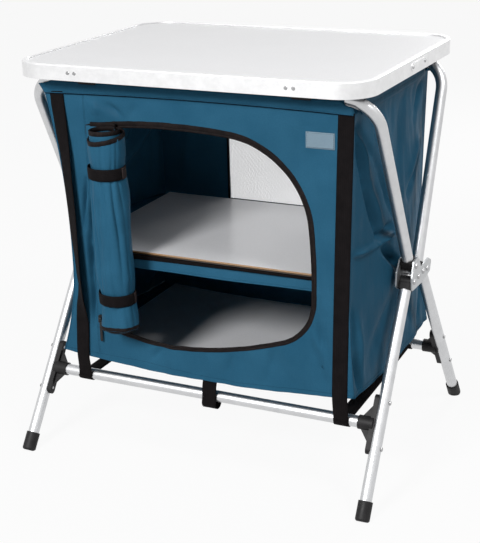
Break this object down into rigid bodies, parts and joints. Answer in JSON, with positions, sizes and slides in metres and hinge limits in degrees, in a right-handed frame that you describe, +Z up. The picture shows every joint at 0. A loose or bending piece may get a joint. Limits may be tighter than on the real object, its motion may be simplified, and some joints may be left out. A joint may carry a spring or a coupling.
{
  "type": "camping cupboard",
  "caption": "Folding camping cupboard: cloth cabinet with shelf, rolled-up door and back window, in a tube stand on two side hubs under a lift-off table top",
  "frame": {"origin": "on the ground, under the middle of the stand", "axes": "+Z up, front towards -Y, +X to the right seen from the front"},
  "size_m": [0.6404, 0.524, 0.677],
  "materials": {
    "tube_aluminium": "satin anodised tube",
    "edge_aluminium": "satin extrusion",
    "rivet_steel": "plated",
    "hub_steel": "stamped, plated",
    "black_plastic": "moulded, fine grain",
    "table_laminate": "pale grey laminate",
    "board_laminate": "pale grey laminate, raw tan edge",
    "blue_cloth": "plain woven polyester, coated inside",
    "black_webbing": "ribbed flat webbing",
    "zip_tape": "coil zip on woven tape",
    "white_mesh": "fine open mesh",
    "dark_zip_metal": "dark enamel",
    "grey_patch": "soft woven-look patch, bare"
  },
  "bodies": {
    "hub": {"right_hub_outer_plate": "hub_steel", "right_hub_inner_plate": "hub_steel", "left_hub_outer_plate": "hub_steel", "left_hub_inner_plate": "hub_steel", "hub_rivets": "rivet_steel", "hub_spacers": "rivet_steel"},
    "front_arms": {"front_top_tube": "tube_aluminium", "front_arm_knuckles": "black_plastic", "front_sleeve": "blue_cloth"},
    "back_arms": {"back_top_tube": "tube_aluminium", "back_arm_knuckles": "black_plastic", "back_sleeve": "blue_cloth"},
    "front_legs": {"right_front_leg": "tube_aluminium", "left_front_leg": "tube_aluminium", "front_foot_caps": "black_plastic", "front_crossbar": "tube_aluminium", "front_tee_brackets": "black_plastic", "front_bracket_rivets": "rivet_steel", "front_leg_knuckles": "black_plastic", "front_strap_loops": "black_webbing", "centre_strap": "black_webbing"},
    "back_legs": {"right_back_leg": "tube_aluminium", "left_back_leg": "tube_aluminium", "back_foot_caps": "black_plastic", "back_crossbar": "tube_aluminium", "back_tee_brackets": "black_plastic", "back_bracket_rivets": "rivet_steel", "back_leg_knuckles": "black_plastic", "back_strap_loops": "black_webbing"},
    "table": {"table_edge_frame": "edge_aluminium", "table_board": "table_laminate", "edge_joint_plate": "edge_aluminium", "edge_joint_rivets": "rivet_steel", "table_clips": "black_plastic", "table_clip_rivets": "rivet_steel"},
    "cabinet": {"front_panel": "blue_cloth", "door_binding": "zip_tape", "back_panel": "blue_cloth", "mesh_window": "white_mesh", "window_binding": "zip_tape", "right_side_panel": "blue_cloth", "left_side_panel": "blue_cloth", "side_bands": "blue_cloth", "floor_panel": "blue_cloth", "shelf_sling": "blue_cloth", "rolled_door": "blue_cloth", "door_ties": "black_webbing", "front_straps": "black_webbing", "back_straps": "black_webbing", "under_straps": "black_webbing"},
    "panel_trim": {"zip_slider": "dark_zip_metal", "bare_patch": "grey_patch"},
    "zip_pull_swing": {"zip_pull": "dark_zip_metal"},
    "shelf": {"shelf_board": "board_laminate"},
    "floor": {"floor_board": "board_laminate"}
  },
  "joints": [
    {"name": "front_leg_fold", "type": "hinge", "parent": "hub", "child": "front_legs", "pos_m": [0, -0.033, 0.3205], "axis": [1, 0, 0], "range_deg": [0, 34.59], "deforming": ["front_panel", "door_binding", "back_panel", "mesh_window", "window_binding", "right_side_panel", "left_side_panel", "side_bands", "floor_panel", "shelf_sling", "rolled_door", "door_ties", "front_straps", "back_straps", "under_straps"]},
    {"name": "back_leg_fold", "type": "hinge", "parent": "hub", "child": "back_legs", "pos_m": [0, 0.036, 0.322], "axis": [-1, 0, 0], "range_deg": [0, 34.1]},
    {"name": "front_arm_fold", "type": "hinge", "parent": "hub", "child": "front_arms", "pos_m": [0, -0.0245, 0.345], "axis": [-1, 0, 0], "range_deg": [0, 26.51]},
    {"name": "back_arm_fold", "type": "hinge", "parent": "hub", "child": "back_arms", "pos_m": [0, 0.0143, 0.324], "axis": [1, 0, 0], "range_deg": [0, 26.47]},
    {"name": "table_lift", "type": "slide", "parent": "hub", "child": "table", "axis": [0, 0, 1], "range_m": [0, 0.25]},
    {"name": "cabinet_rise", "type": "slide", "parent": "hub", "child": "cabinet", "axis": [0, 0, 1], "range_m": [0, 0.036]},
    {"name": "front_draw_in", "type": "slide", "parent": "cabinet", "child": "panel_trim", "axis": [0, 1, 0], "range_m": [0, 0.1458]},
    {"name": "zip_pull_hinge", "type": "hinge", "parent": "panel_trim", "child": "zip_pull_swing", "pos_m": [-0.185, -0.1883, 0.241], "axis": [-1, 0, 0], "range_deg": [0, 150]},
    {"name": "shelf_board_out", "type": "slide", "parent": "hub", "child": "shelf", "axis": [0, -1, 0], "range_m": [0, 0.5]},
    {"name": "floor_board_out", "type": "slide", "parent": "hub", "child": "floor", "axis": [0, -1, 0], "range_m": [0, 0.5]}
  ],
  "couplings": [
    {"joint": "back_leg_fold", "follows": "front_leg_fold", "ratio": 0.98585},
    {"joint": "front_arm_fold", "follows": "front_leg_fold", "ratio": 0.76648},
    {"joint": "back_arm_fold", "follows": "front_leg_fold", "ratio": 0.76534},
    {"joint": "table_lift", "follows": "front_leg_fold", "m_per_rad": 0.41413},
    {"joint": "cabinet_rise", "follows": "front_leg_fold", "m_per_rad": 0.059634},
    {"joint": "front_draw_in", "follows": "front_leg_fold", "m_per_rad": 0.24152},
    {"joint": "shelf_board_out", "follows": "front_leg_fold", "m_per_rad": 0.82826},
    {"joint": "floor_board_out", "follows": "front_leg_fold", "m_per_rad": 0.82826}
  ]
}
